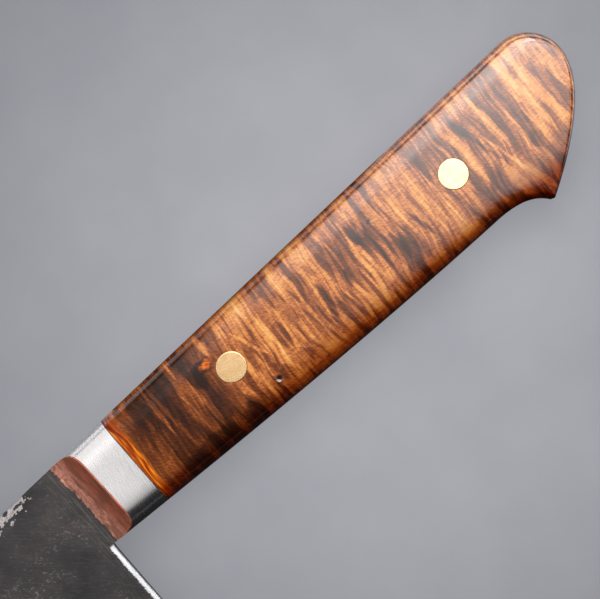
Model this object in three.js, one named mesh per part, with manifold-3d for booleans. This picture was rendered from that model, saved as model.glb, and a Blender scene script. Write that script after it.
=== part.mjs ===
// A gyuto, the long Japanese kitchen knife, with a full tang, brazed bolsters and pinned wooden scales.
// Millimetres. The knife lies on its right side: +X to the butt, +Y to the spine, +Z out of the left side.
// Lengths are measured back from the joint between bolster and scale, heights from the line of the two pins.
import * as THREE from "three";
import { mergeVertices } from "three/addons/utils/BufferGeometryUtils.js";
import Module from "manifold-3d";

const wasm = await Module();
wasm.setup();

// Handle, from the side
const HANDLE_LENGTH = 119.8; // joint to the rearmost point of the butt
const SPINE_HEIGHT = 9.15; // at the joint
const SPINE_RISE = THREE.MathUtils.degToRad(2.46); // the spine climbs towards the butt
const BELLY_FRONT = 11.4; // depth of the belly at the front of the bolster
const BELLY_PULL = { x: 48, depth: 13.95 }; // the belly's long curve bends towards this point
const HOLLOW_DEPTH = 13; // depth of the belly where the hollow for the last finger starts
const HOLLOW_SETBACK = 31.8; // that start, in front of the butt
const HOLLOW_PULL = 23.8; // the hollow bends towards this point, in front of the butt
const BEAK_DEPTH = 17.1;
const BEAK_SETBACK = 20.75; // the beak's point, in front of the butt
const BUTT_DEPTH_PULL = 4.9; // the butt drops straight towards this depth, then bends to the beak
const CORNER_LENGTH = 8.6; // round corner between spine and butt
const CORNER_HEIGHT = 8.6;
const CORNER_FULLNESS = 0.5523; // a quarter circle as a cubic curve

// Handle, across
const HANDLE_THICKNESS = 18.4;
const TANG_THICKNESS = 3.2;
const GLUE_FILM = 0.2;
const BRAZE_FILM = 0.2;

// Rounding of the handle's edges: how far it reaches over the side, and its fullness, 2 for a plain ellipse
const FRONT_ROUNDING = { reach: 6.2, fullness: 2.8 };
const BACK_ROUNDING = { reach: 5.5, fullness: 3.4 };
const HOLLOW_ROUNDING = { reach: 5, fullness: 3.4 };
const BUTT_ROUNDING = { reach: 2.2, fullness: 3.4 };
const BEAK_ROUNDING = { reach: 1, fullness: 3.4 };

// Bolster: its front is a scooped ramp with a coat of copper braze
const BOLSTER_LENGTH = 8.15; // on the side, joint to the crest of the ramp
const RAMP_LENGTH = 5.55; // crest to toe
const RAMP_FULLNESS = 1.2; // 1 for a straight slope, 2 for an ellipse
const RAMP_LEAN = THREE.MathUtils.degToRad(1.5); // the ramp leans forward at the spine
const COAT = 0.35;
const COAT_BITE = 0.1; // the coat runs this far into the film at the toe
const FIT = 0.05; // clearance between the curved faces of braze and bolster

// Pins
const PIN_RADIUS = 3.175;
const PIN_CLEARANCE = 0.1;
const FIRST_PIN = 27.3; // from the joint
const PIN_SPACING = 59.1;

// Blade
const HEEL_SETBACK = 14.7; // the upright heel, in front of the joint
const BLADE_LENGTH = 240;
const HEEL_HEIGHT = 50;
const TIP_RISE = 20; // the point, above the level of the heel
const TIP_SPINE_ANGLE = THREE.MathUtils.degToRad(16); // the spine falls to the point
const TIP_EDGE_ANGLE = THREE.MathUtils.degToRad(32); // the edge climbs to the point
const SPINE_STRAIGHT = 0.62; // shares of the blade's length over which each curve holds its end direction
const SPINE_FALL = 0.22;
const EDGE_STRAIGHT = 0.46;
const EDGE_SWEEP = 0.2;
const BEVEL_HEIGHT = 15;
const THINNING_TO_TIP = 0.0035; // half thickness lost for each millimetre towards the point
const THINNING_TO_EDGE = 0.0125; // and for each millimetre towards the edge
const EDGE_THICKNESS = 0.24;
const SPINE_EASE = 0.4; // bevel along both corners of the spine
const HEEL_EASE = 1.2; // length of the eased back of the heel
const HEEL_EASE_SHARE = 0.7; // thickness left at the very back of the heel
const RICASSO = 5; // the faces stay parallel this far in front of the heel
const RICASSO_BLEND = 25; // and turn into the flat over this length
const SHOULDER_DROP = 1; // the parallel faces reach this far below the handle's belly
const POINT_SHARE = 0.996; // the last section stands this far along the blade

// Fineness of the facets
const CURVE_STEPS = 14;
const SPINE_STEPS = 4;
const ROUND_STEPS = 8;
const PIN_SIDES = 40;
const BLADE_STEPS = 30;
const HEEL_PLACES = [0, 0.08, 0.3, 1]; // sections over the eased back of the heel, as shares of it
const WELD = 1e-4; // points closer than this are one

const HALF_TANG = TANG_THICKNESS / 2;
const HALF_HANDLE = HANDLE_THICKNESS / 2;
const HEEL_X = -HEEL_SETBACK;
const REACH = 400; // longer than the knife, for cutting blocks

const STEEL_BRUSHED = { color: 0xc9c7c4, roughness: 0.35, metalness: 1 };
const STEEL_FORGED = { color: 0x4a4748, roughness: 0.6, metalness: 0.8 };
const COPPER = { color: 0xa86a52, roughness: 0.5, metalness: 1 };
const BRASS = { color: 0xe0b878, roughness: 0.25, metalness: 1 };
const MAPLE = { color: 0x9a5f30, roughness: 0.3, metalness: 0 };
const EPOXY = { color: 0x2a1a12, roughness: 0.3, metalness: 0 };

// Height of the straight line of the spine
function spineAt(x) {
  return SPINE_HEIGHT + x * Math.tan(SPINE_RISE);
}

// Solid from a closed geometry
function solidOf(geometry) {
  const bare = new THREE.BufferGeometry();
  bare.setAttribute("position", geometry.getAttribute("position").clone());
  bare.setIndex(geometry.getIndex());
  const merged = mergeVertices(bare, WELD);
  const mesh = new wasm.Mesh({
    numProp: 3,
    vertProperties: merged.getAttribute("position").array,
    triVerts: new Uint32Array(merged.getIndex().array),
  });
  return new wasm.Manifold(mesh);
}

// Block between two corners
function block(low, high) {
  const size = new THREE.Vector3().subVectors(high, low);
  const middle = new THREE.Vector3().addVectors(low, high).multiplyScalar(0.5);
  const box = new THREE.BoxGeometry(size.x, size.y, size.z);
  return solidOf(box.translate(middle.x, middle.y, middle.z));
}

// Everything behind one place along the knife and above one height
function behindAndAbove(x, z) {
  return block(new THREE.Vector3(x, -REACH, z), new THREE.Vector3(REACH, REACH, REACH));
}

// Everything in front of one place along the knife and above one height
function beforeAndAbove(x, z) {
  return block(new THREE.Vector3(-REACH, -REACH, z), new THREE.Vector3(x, REACH, REACH));
}

// Outline of the handle as curves, each with the rounding at its start and end
function handleCurves() {
  const cornerX = HANDLE_LENGTH - CORNER_LENGTH;
  const cornerTop = new THREE.Vector2(cornerX, spineAt(cornerX));
  const buttY = cornerTop.y - CORNER_HEIGHT;
  const butt = new THREE.Vector2(HANDLE_LENGTH, buttY);
  const beak = new THREE.Vector2(HANDLE_LENGTH - BEAK_SETBACK, -BEAK_DEPTH);
  const hollow = new THREE.Vector2(HANDLE_LENGTH - HOLLOW_SETBACK, -HOLLOW_DEPTH);
  const frontTop = new THREE.Vector2(HEEL_X, spineAt(HEEL_X));
  const frontBottom = new THREE.Vector2(HEEL_X, -BELLY_FRONT);
  const alongSpine = CORNER_FULLNESS * CORNER_LENGTH;
  const cornerPull = new THREE.Vector2(cornerX + alongSpine, spineAt(cornerX + alongSpine));
  const buttPull = new THREE.Vector2(HANDLE_LENGTH, buttY + CORNER_FULLNESS * CORNER_HEIGHT);
  const dropPull = new THREE.Vector2(HANDLE_LENGTH, -BUTT_DEPTH_PULL);
  const hollowPull = new THREE.Vector2(HANDLE_LENGTH - HOLLOW_PULL, -HOLLOW_DEPTH);
  const bellyPull = new THREE.Vector2(BELLY_PULL.x, -BELLY_PULL.depth);
  return [
    {
      curve: new THREE.LineCurve(frontTop, cornerTop),
      from: FRONT_ROUNDING,
      to: BACK_ROUNDING,
      steps: SPINE_STEPS,
    },
    {
      curve: new THREE.CubicBezierCurve(cornerTop, cornerPull, buttPull, butt),
      from: BACK_ROUNDING,
      to: BUTT_ROUNDING,
      steps: CURVE_STEPS,
    },
    {
      curve: new THREE.QuadraticBezierCurve(butt, dropPull, beak),
      from: BUTT_ROUNDING,
      to: BEAK_ROUNDING,
      steps: CURVE_STEPS,
    },
    {
      curve: new THREE.QuadraticBezierCurve(beak, hollowPull, hollow),
      from: BEAK_ROUNDING,
      to: HOLLOW_ROUNDING,
      steps: CURVE_STEPS / 2,
    },
    {
      curve: new THREE.QuadraticBezierCurve(hollow, bellyPull, frontBottom),
      from: HOLLOW_ROUNDING,
      to: FRONT_ROUNDING,
      steps: CURVE_STEPS,
    },
  ];
}

// Rounding at one share of the way from one to another
function between(from, to, share) {
  return {
    reach: THREE.MathUtils.lerp(from.reach, to.reach, share),
    fullness: THREE.MathUtils.lerp(from.fullness, to.fullness, share),
  };
}

// Points round the handle, clockwise from the front of the spine, each with its rounding
function handlePoints() {
  const points = [];
  for (const { curve, from, to, steps } of handleCurves()) {
    for (let i = 0; i < steps; i++) {
      const share = i / steps;
      points.push({ at: curve.getPoint(share), rounding: between(from, to, share) });
    }
  }
  const last = handleCurves().at(-1);
  points.push({ at: last.curve.getPoint(1), rounding: last.to });
  return points;
}

// Direction into the handle at one point of the outline, long enough to move both neighbouring edges by one
function inward(points, i) {
  const normalOf = (a, b) => new THREE.Vector2(b.at.y - a.at.y, a.at.x - b.at.x).normalize();
  if (i === 0) return new THREE.Vector2(0, -1);
  if (i === points.length - 1) return new THREE.Vector2(0, 1);
  const before = normalOf(points[i - 1], points[i]);
  const after = normalOf(points[i], points[i + 1]);
  return before.clone().add(after).divideScalar(1 + before.dot(after));
}

// One half of the handle above the tang, rounded over from the outline to a flat side
function handleSide() {
  const points = handlePoints();
  const count = points.length;
  const rings = [];
  for (let k = 0; k <= ROUND_STEPS; k++) {
    const angle = ((k / ROUND_STEPS) * Math.PI) / 2;
    rings.push(
      points.map(({ at, rounding }, i) => {
        const power = 2 / rounding.fullness;
        const shrink = rounding.reach * (1 - Math.cos(angle) ** power);
        const height = THREE.MathUtils.lerp(HALF_TANG, HALF_HANDLE, Math.sin(angle) ** power);
        const moved = inward(points, i).multiplyScalar(shrink).add(at);
        return new THREE.Vector3(moved.x, moved.y, height);
      }),
    );
  }
  const index = [];
  for (let k = 0; k < ROUND_STEPS; k++) {
    for (let i = 0; i < count; i++) {
      const next = (i + 1) % count;
      const a = k * count + i;
      const b = k * count + next;
      index.push(b, a, a + count, b, a + count, b + count);
    }
  }
  const flat = (ring) => ring.map((p) => new THREE.Vector2(p.x, p.y));
  const capOf = (ring) => THREE.ShapeUtils.triangulateShape(flat(ring), []);
  const top = ROUND_STEPS * count;
  for (const [a, b, c] of capOf(rings[0])) index.push(a, c, b);
  for (const [a, b, c] of capOf(rings[ROUND_STEPS])) index.push(top + a, top + b, top + c);
  const geometry = new THREE.BufferGeometry().setFromPoints(rings.flat());
  geometry.setIndex(index);
  return solidOf(geometry);
}

// Scooped space in front of the bolster's ramp, larger all round by one amount and cut down to one height
function rampSpace(grow, floor) {
  const long = RAMP_LENGTH + grow;
  const high = HALF_HANDLE - HALF_TANG - BRAZE_FILM - COAT + grow;
  const profile = new THREE.Shape();
  profile.moveTo(-REACH, floor - HALF_HANDLE);
  profile.lineTo(0, floor - HALF_HANDLE);
  const power = 2 / RAMP_FULLNESS;
  for (let i = CURVE_STEPS; i >= 0; i--) {
    const angle = ((i / CURVE_STEPS) * Math.PI) / 2;
    profile.lineTo(long * Math.cos(angle) ** power, -high * Math.sin(angle) ** power);
  }
  profile.lineTo(long, HANDLE_THICKNESS);
  profile.lineTo(-REACH, HANDLE_THICKNESS);
  const cutter = new THREE.ExtrudeGeometry(profile, { depth: REACH, bevelEnabled: false });
  cutter.translate(0, 0, -REACH / 2);
  cutter.rotateX(Math.PI / 2);
  cutter.rotateZ(RAMP_LEAN);
  cutter.translate(-BOLSTER_LENGTH - RAMP_LENGTH, 0, HALF_HANDLE);
  return solidOf(cutter);
}

// Round rod through the handle at one pin
function rod(x, radius) {
  const cylinder = new THREE.CylinderGeometry(radius, radius, HANDLE_THICKNESS, PIN_SIDES);
  cylinder.rotateX(Math.PI / 2);
  return solidOf(cylinder.translate(x, 0, 0));
}

// Holes for both pins
function pinHoles() {
  const radius = PIN_RADIUS + PIN_CLEARANCE;
  return rod(FIRST_PIN, radius).add(rod(FIRST_PIN + PIN_SPACING, radius));
}

// Left bolster cheek
function bolsterCheek(side) {
  const filmTop = HALF_TANG + BRAZE_FILM;
  const front = side.intersect(beforeAndAbove(0, filmTop));
  return front.subtract(rampSpace(COAT + COAT_BITE + FIT, filmTop - COAT_BITE));
}

// Left braze: a film under the cheek and a coat up the ramp
function brazeLayer(side) {
  const filmTop = HALF_TANG + BRAZE_FILM;
  const front = side.intersect(beforeAndAbove(0, 0));
  const film = front.subtract(beforeAndAbove(REACH, filmTop));
  const coat = front.intersect(rampSpace(COAT + COAT_BITE, filmTop - COAT_BITE));
  return film.add(coat).subtract(rampSpace(0, 0));
}

// Left scale of wood
function scale(side) {
  return side.intersect(behindAndAbove(GLUE_FILM, HALF_TANG + GLUE_FILM)).subtract(pinHoles());
}

// Left glue: a bed under the scale and the line against the bolster
function glueLayer(side) {
  const behind = side.intersect(behindAndAbove(0, 0));
  return behind.subtract(behindAndAbove(GLUE_FILM, HALF_TANG + GLUE_FILM)).subtract(pinHoles());
}

// Tang: a flat plate with the outline of the whole handle
function tangPlate() {
  const outline = new THREE.Shape(handlePoints().map((point) => point.at));
  const plate = new THREE.ExtrudeGeometry(outline, { depth: TANG_THICKNESS, bevelEnabled: false });
  return solidOf(plate.translate(0, 0, -HALF_TANG));
}

// Curves of the blade from heel to point
function bladeCurves() {
  const heelTop = new THREE.Vector2(HEEL_X, spineAt(HEEL_X));
  const heel = new THREE.Vector2(HEEL_X, heelTop.y - HEEL_HEIGHT);
  const point = new THREE.Vector2(HEEL_X - BLADE_LENGTH, heel.y + TIP_RISE);
  const straightX = HEEL_X - SPINE_STRAIGHT * BLADE_LENGTH;
  const spinePull = new THREE.Vector2(straightX, spineAt(straightX));
  const fall = SPINE_FALL * BLADE_LENGTH;
  const fallDirection = new THREE.Vector2(Math.cos(TIP_SPINE_ANGLE), Math.sin(TIP_SPINE_ANGLE));
  const fallPull = fallDirection.multiplyScalar(fall).add(point);
  const edgePull = new THREE.Vector2(HEEL_X - EDGE_STRAIGHT * BLADE_LENGTH, heel.y);
  const sweep = EDGE_SWEEP * BLADE_LENGTH;
  const sweepDirection = new THREE.Vector2(Math.cos(TIP_EDGE_ANGLE), -Math.sin(TIP_EDGE_ANGLE));
  const sweepPull = sweepDirection.multiplyScalar(sweep).add(point);
  return {
    spine: new THREE.CubicBezierCurve(heelTop, spinePull, fallPull, point),
    edge: new THREE.CubicBezierCurve(heel, edgePull, sweepPull, point),
  };
}

// Half thickness of the blade's flat, which is one plane from spine to bevel
function flatHalf(point) {
  const toTip = THINNING_TO_TIP * (HEEL_X - point.x);
  const toEdge = THINNING_TO_EDGE * (spineAt(HEEL_X) - point.y);
  return HALF_TANG - toTip - toEdge;
}

// How much of the tang's parallel faces is left at one distance in front of the heel
function ricassoShare(distance) {
  return 1 - THREE.MathUtils.smoothstep(distance, RICASSO, RICASSO + RICASSO_BLEND);
}

// Share of the full thickness at one distance in front of the eased back of the heel
function heelShare(distance) {
  const run = Math.min(distance / HEEL_EASE, 1);
  return HEEL_EASE_SHARE + (1 - HEEL_EASE_SHARE) * Math.sqrt(1 - (1 - run) ** 2);
}

// Section of the blade at one place along its curves, as points round it
function bladeSection(curves, along) {
  const top = curves.spine.getPoint(along);
  const bottom = curves.edge.getPoint(along);
  const height = top.distanceTo(bottom);
  const distance = HEEL_X - top.x;
  const parallel = ricassoShare(distance);
  const eased = heelShare(distance);
  const bevelShare = BEVEL_HEIGHT / HEEL_HEIGHT;
  const shoulderShare = 1 - (spineAt(HEEL_X) + BELLY_FRONT + SHOULDER_DROP) / HEEL_HEIGHT;
  const shoulder = bottom.clone().lerp(top, shoulderShare);
  const bevel = bottom.clone().lerp(top, bevelShare);
  const halfAt = (place) => THREE.MathUtils.lerp(flatHalf(place), HALF_TANG, parallel);
  const wide = Math.min(SPINE_EASE, halfAt(top) / 2);
  const corner = top.clone().lerp(bottom, wide / height);
  const half = [
    { at: top, z: halfAt(top) - wide },
    { at: corner, z: halfAt(corner) },
    { at: shoulder, z: halfAt(shoulder) },
    { at: bevel, z: flatHalf(bevel) * eased },
    { at: bottom, z: EDGE_THICKNESS / 2 },
  ];
  const left = half.map(({ at, z }) => new THREE.Vector3(at.x, at.y, z));
  const right = half.map(({ at, z }) => new THREE.Vector3(at.x, at.y, -z)).reverse();
  return [...left, ...right];
}

// Places of the sections along the blade: close together at the eased heel and the ricasso, then even
function bladePlaces() {
  const firstPull = 3 * SPINE_STRAIGHT * BLADE_LENGTH;
  const near = HEEL_PLACES.map((share) => (share * HEEL_EASE) / firstPull);
  const places = [...near, RICASSO / firstPull];
  for (let i = 1; i <= BLADE_STEPS; i++) {
    places.push(THREE.MathUtils.lerp(RICASSO / firstPull, POINT_SHARE, i / BLADE_STEPS));
  }
  return places;
}

// Blade in front of the heel, through its sections
function bladeLoft() {
  const curves = bladeCurves();
  const sections = bladePlaces().map((along) => bladeSection(curves, along));
  const count = sections[0].length;
  const index = [];
  for (let s = 0; s + 1 < sections.length; s++) {
    for (let i = 0; i < count; i++) {
      const next = (i + 1) % count;
      const a = s * count + i;
      const b = s * count + next;
      index.push(a, a + count, b, b, a + count, b + count);
    }
  }
  const last = (sections.length - 1) * count;
  for (let i = 0; i < count / 2 - 1; i++) {
    const j = count - 1 - i;
    index.push(i, i + 1, j, i + 1, j - 1, j);
    index.push(last + i, last + j, last + i + 1, last + i + 1, last + j, last + j - 1);
  }
  const geometry = new THREE.BufferGeometry().setFromPoints(sections.flat());
  geometry.setIndex(index);
  return solidOf(geometry);
}

// Blade and tang, one forging
function blade() {
  return bladeLoft().add(tangPlate()).subtract(pinHoles());
}

// Named mesh of a solid
function meshOf(name, solid, look) {
  const { numProp, vertProperties, triVerts } = solid.getMesh();
  const places = [];
  for (let i = 0; i < vertProperties.length; i += numProp) places.push(...vertProperties.slice(i, i + 3));
  const geometry = new THREE.BufferGeometry();
  geometry.setAttribute("position", new THREE.Float32BufferAttribute(places, 3));
  geometry.setIndex([...triVerts]);
  geometry.computeVertexNormals();
  const mesh = new THREE.Mesh(geometry, new THREE.MeshStandardMaterial(look));
  mesh.name = name;
  return mesh;
}

// The left and the right copy of a piece that lies on one side of the tang
function pairOf(name, solid, look) {
  return [meshOf(name + "_left", solid, look), meshOf(name + "_right", solid.mirror([0, 0, 1]), look)];
}

const side = handleSide();
const knife = new THREE.Group();
knife.name = "gyuto_knife";
knife.add(meshOf("blade", blade(), STEEL_FORGED));
knife.add(...pairOf("bolster", bolsterCheek(side), STEEL_BRUSHED));
knife.add(...pairOf("braze", brazeLayer(side), COPPER));
knife.add(...pairOf("scale", scale(side), MAPLE));
knife.add(...pairOf("glue", glueLayer(side), EPOXY));
knife.add(meshOf("pin_front", rod(FIRST_PIN, PIN_RADIUS), BRASS));
knife.add(meshOf("pin_rear", rod(FIRST_PIN + PIN_SPACING, PIN_RADIUS), BRASS));

// The origin lies under the middle of the whole knife
const bounds = new THREE.Box3().setFromObject(knife);
const middle = bounds.getCenter(new THREE.Vector3());
knife.position.set(-middle.x, -middle.y, -bounds.min.z);

export default knife;
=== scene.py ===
"""The looks of a gyuto: a dark forged blade, copper-brazed bolsters and a beaked handle of curly wood."""

import math

import bmesh
import bpy
from mathutils import Matrix, Vector, noise
from mathutils.geometry import tessellate_polygon


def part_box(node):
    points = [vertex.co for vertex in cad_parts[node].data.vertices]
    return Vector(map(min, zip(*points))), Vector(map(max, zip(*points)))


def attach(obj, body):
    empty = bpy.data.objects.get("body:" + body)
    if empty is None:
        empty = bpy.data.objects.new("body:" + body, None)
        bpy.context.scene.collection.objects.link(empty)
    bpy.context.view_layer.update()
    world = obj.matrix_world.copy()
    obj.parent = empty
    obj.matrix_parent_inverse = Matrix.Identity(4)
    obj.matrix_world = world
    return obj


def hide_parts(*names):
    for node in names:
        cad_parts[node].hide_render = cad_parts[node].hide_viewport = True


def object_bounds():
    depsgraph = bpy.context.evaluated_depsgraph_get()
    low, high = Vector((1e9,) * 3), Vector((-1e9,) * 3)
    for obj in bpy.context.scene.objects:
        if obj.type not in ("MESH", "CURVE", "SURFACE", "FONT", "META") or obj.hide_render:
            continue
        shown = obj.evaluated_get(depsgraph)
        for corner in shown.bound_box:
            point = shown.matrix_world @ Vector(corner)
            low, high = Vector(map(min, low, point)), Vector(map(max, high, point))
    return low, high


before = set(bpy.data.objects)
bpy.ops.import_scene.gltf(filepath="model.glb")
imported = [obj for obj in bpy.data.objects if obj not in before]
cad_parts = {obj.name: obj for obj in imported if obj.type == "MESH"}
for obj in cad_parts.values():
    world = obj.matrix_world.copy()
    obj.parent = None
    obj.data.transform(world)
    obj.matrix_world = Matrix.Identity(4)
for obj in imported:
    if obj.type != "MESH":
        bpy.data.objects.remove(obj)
cad_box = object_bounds()

MM = 0.001

# Handle, from the side, in millimetres: lengths run back from the joint of bolster and scale,
# heights from the line of the two pins
HANDLE_LENGTH = 119.8
SPINE_HEIGHT = 9.15
SPINE_RISE = math.radians(2.46)
BELLY_FRONT = 11.4
BELLY_PULL = Vector((48, -13.95))
HOLLOW_DEPTH = 13
HOLLOW_SETBACK = 31.8
HOLLOW_PULL = 23.8
BEAK_DEPTH = 17.1
BEAK_SETBACK = 20.75
BUTT_DEPTH_PULL = 4.9
CORNER_LENGTH = 8.6
CORNER_HEIGHT = 8.6
CORNER_FULLNESS = 0.5523

# Handle, across
HALF_HANDLE = 9.2
HALF_TANG = 1.6
GLUE_FILM = 0.2
BRAZE_FILM = 0.2

# Rounding of the handle's edges: how far it reaches over the side, and its fullness, 2 for a plain ellipse
FRONT_ROUNDING = Vector((6.2, 2.8))
BACK_ROUNDING = Vector((5.5, 3.4))
HOLLOW_ROUNDING = Vector((5, 3.4))
BUTT_ROUNDING = Vector((2.2, 3.4))
BEAK_ROUNDING = Vector((1, 3.4))

# Bolster and its ramp
BOLSTER_LENGTH = 8.15
RAMP_LENGTH = 5.55
RAMP_FULLNESS = 1.2
RAMP_LEAN = math.radians(1.5)
COAT = 0.35

# Front of the braze: its run-out on the blade, its height there, its rounded nose, how far it sinks into the
# tang, and the least distance that it keeps from the heel
BRAZE_RUN = 0.3
BRAZE_RUN_HEIGHT = 0.4
BRAZE_NOSE = 0.2
BRAZE_SINK = 0.02
BRAZE_STOP = 0.1

# Pins
PIN_RADIUS = 3.175
PIN_CLEARANCE = 0.03
FIRST_PIN = 27.3
PIN_SPACING = 59.1
PIN_PLACES = (FIRST_PIN, FIRST_PIN + PIN_SPACING)
PIN_BEVEL = 0.1

# Blade
HEEL_X = -14.7
BLADE_LENGTH = 240
HEEL_HEIGHT = 50
TIP_RISE = 20
TIP_SPINE_ANGLE = math.radians(16)
TIP_EDGE_ANGLE = math.radians(32)
SPINE_STRAIGHT = 0.62
SPINE_FALL = 0.22
EDGE_STRAIGHT = 0.46
EDGE_SWEEP = 0.2
BEVEL_SHARE = 0.3
THINNING_TO_TIP = 0.0035
THINNING_TO_EDGE = 0.0125
EDGE_HALF = 0.12
SPINE_EASE = 0.4
HEEL_EASE = 1.2
HEEL_EASE_SHARE = 0.7
RICASSO = 5
RICASSO_BLEND = 25
RICASSO_DROP = 1
EASE_START = 0.1
EASE_FULL = 1.2
POINT_CUT = 0.7

# Skin of the blade: depth of the dents and of the pits in the scale, and what is noted for the tang, which is
# neither worn nor ground: a depth below the spine and a share of the height
DENT = 0.03
SCALE_PIT = 0.02
TANG_SKIN = (10, 0.8)

# Sections of the blade: a fine step as far as the photograph shows it, a coarse one beyond, and the last ones
FINE_STEP = 0.4
FINE_LENGTH = 48
COARSE_STEP = 1.6
TIP_ROOM = 2
LAST_SECTIONS = (1.4, 1, POINT_CUT)

# The photograph: its width in pixels, pixels to the millimetre, and the knife's turn and middle in it
PHOTO_WIDTH = 600
PIXELS_PER_MM = 4.9
PHOTO_TURN = math.radians(-41)
PHOTO_MIDDLE = Vector((46.6, 1.2))
CAMERA_DISTANCE = 590
SENSOR = 36

# Where the joint, the pin line and the mid-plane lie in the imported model, in metres
pin_low, pin_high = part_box("pin_front")
ORIGIN = (pin_low + pin_high) / 2 - Vector((FIRST_PIN * MM, 0, 0))


def to_row(point, mirrored=False):
    """A point in the knife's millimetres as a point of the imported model."""
    x, y, z = point
    return ORIGIN + Vector((x, y, -z if mirrored else z)) * MM


def inside(place):
    """The place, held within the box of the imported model."""
    return Vector([min(max(value, low), high) for value, low, high in zip(place, *cad_box)])


def placed(name, data):
    """A new object in the scene."""
    made = bpy.data.objects.new(name, data)
    bpy.context.scene.collection.objects.link(made)
    return made


def lerp(a, b, share):
    return a + (b - a) * share


def shares(steps):
    """Even shares from 0 to 1."""
    return [i / steps for i in range(steps + 1)]


def smoothstep(low, high, value):
    share = min(max((value - low) / (high - low), 0), 1)
    return share * share * (3 - 2 * share)


def bezier(control, share):
    """Point of a curve with any number of control points."""
    points = list(control)
    while len(points) > 1:
        points = [a.lerp(b, share) for a, b in zip(points, points[1:])]
    return points[0]


def crossing(control, x):
    """Share of a curve at which it passes one place along the knife."""
    low, high = 0.0, 1.0
    falling = control[0].x > control[-1].x
    for _ in range(40):
        middle = (low + high) / 2
        if (bezier(control, middle).x > x) == falling:
            low = middle
        else:
            high = middle
    return (low + high) / 2


def spine_at(x):
    return SPINE_HEIGHT + x * math.tan(SPINE_RISE)


HOLLOW = Vector((HANDLE_LENGTH - HOLLOW_SETBACK, -HOLLOW_DEPTH))
BELLY = [HOLLOW, BELLY_PULL, Vector((HEEL_X, -BELLY_FRONT))]


def belly_at(x):
    """Height of the belly and its rounding at one place along the knife."""
    share = crossing(BELLY, x)
    return bezier(BELLY, share).y, lerp(HOLLOW_ROUNDING, FRONT_ROUNDING, share)


def spine_rounding(x):
    return lerp(FRONT_ROUNDING, BACK_ROUNDING, (x - HEEL_X) / (HANDLE_LENGTH - CORNER_LENGTH - HEEL_X))


def handle_outline(front):
    """Points round the handle behind one place, clockwise from the spine, each with its rounding."""
    corner_x = HANDLE_LENGTH - CORNER_LENGTH
    corner = Vector((corner_x, spine_at(corner_x)))
    along = CORNER_FULLNESS * CORNER_LENGTH
    corner_pull = Vector((corner_x + along, spine_at(corner_x + along)))
    butt = Vector((HANDLE_LENGTH, corner.y - CORNER_HEIGHT))
    butt_pull = butt + Vector((0, CORNER_FULLNESS * CORNER_HEIGHT))
    drop_pull = Vector((HANDLE_LENGTH, -BUTT_DEPTH_PULL))
    beak = Vector((HANDLE_LENGTH - BEAK_SETBACK, -BEAK_DEPTH))
    hollow_pull = Vector((HANDLE_LENGTH - HOLLOW_PULL, -HOLLOW_DEPTH))
    start = Vector((front, spine_at(front)))
    belly_end = crossing(BELLY, front)
    stretches = [
        ([start, corner], 1, spine_rounding(front), BACK_ROUNDING, 60),
        ([corner, corner_pull, butt_pull, butt], 1, BACK_ROUNDING, BUTT_ROUNDING, 30),
        ([butt, drop_pull, beak], 1, BUTT_ROUNDING, BEAK_ROUNDING, 40),
        ([beak, hollow_pull, HOLLOW], 1, BEAK_ROUNDING, HOLLOW_ROUNDING, 24),
        (BELLY, belly_end, HOLLOW_ROUNDING, FRONT_ROUNDING, 80),
    ]
    points = []
    for control, end, first, last, steps in stretches:
        for i in range(steps):
            share = end * i / steps
            points.append((bezier(control, share), lerp(first, last, share)))
    points.append((bezier(BELLY, belly_end), lerp(HOLLOW_ROUNDING, FRONT_ROUNDING, belly_end)))
    return points


def inward(points, i):
    """Direction into the handle at one point, long enough to move both neighbouring edges by one."""
    if i == 0:
        return Vector((0, -1))
    if i == len(points) - 1:
        return Vector((0, 1))
    normals = []
    for a, b in ((points[i - 1][0], points[i][0]), (points[i][0], points[i + 1][0])):
        normals.append(Vector((b.y - a.y, a.x - b.x)).normalized())
    return (normals[0] + normals[1]) / (1 + normals[0].dot(normals[1]))


def rounding_step(rounding, base, share):
    """Distance in from the edge and height over the mid-plane, on the way from one height to the flat."""
    reach, fullness = rounding
    rise = (base - HALF_TANG) / (HALF_HANDLE - HALF_TANG)
    angle = lerp(math.asin(rise ** (fullness / 2)), math.pi / 2, share)
    power = 2 / fullness
    inset = reach * (1 - max(math.cos(angle), 0) ** power)
    return inset, lerp(HALF_TANG, HALF_HANDLE, math.sin(angle) ** power)


class Solid:
    """A mesh under construction, in the knife's millimetres."""

    def __init__(self, mirrored=False):
        self.mesh = bmesh.new()
        self.mirrored = mirrored

    def add(self, points, faces, slot=0):
        """Adds corners and faces, and returns the corners."""
        corners = [self.mesh.verts.new(inside(to_row(p, self.mirrored))) for p in points]
        for face in faces:
            self.mesh.faces.new([corners[i] for i in face]).material_index = slot
        return corners

    def wrap(self, rings, slot=0):
        """Adds the faces between closed rings of points, and returns the corners."""
        rows = [[*ring, ring[0]] for ring in rings]
        return self.add([p for row in rows for p in row], grid_faces(len(rows), len(rows[0])), slot)

    def piece(self, name, materials, slot, sharp=35):
        """The finished piece, in place of the CAD node of the same name."""
        bmesh.ops.remove_doubles(self.mesh, verts=self.mesh.verts, dist=2e-6)
        bmesh.ops.dissolve_degenerate(self.mesh, dist=1e-7, edges=self.mesh.edges)
        bmesh.ops.recalc_face_normals(self.mesh, faces=self.mesh.faces)
        data = bpy.data.meshes.new(name)
        self.mesh.to_mesh(data)
        self.mesh.free()
        for material in materials:
            data.materials.append(material)
        data.shade_smooth()
        data.set_sharp_from_angle(angle=math.radians(sharp))
        made = placed(name, data)
        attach(made, "root")
        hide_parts(name)
        return made


def grid_faces(rows, columns, first=0):
    """Faces between neighbouring rows of points."""
    faces = []
    for r in range(rows - 1):
        for c in range(columns - 1):
            a = first + r * columns + c
            faces.append((a, a + 1, a + columns + 1, a + columns))
    return faces


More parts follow.
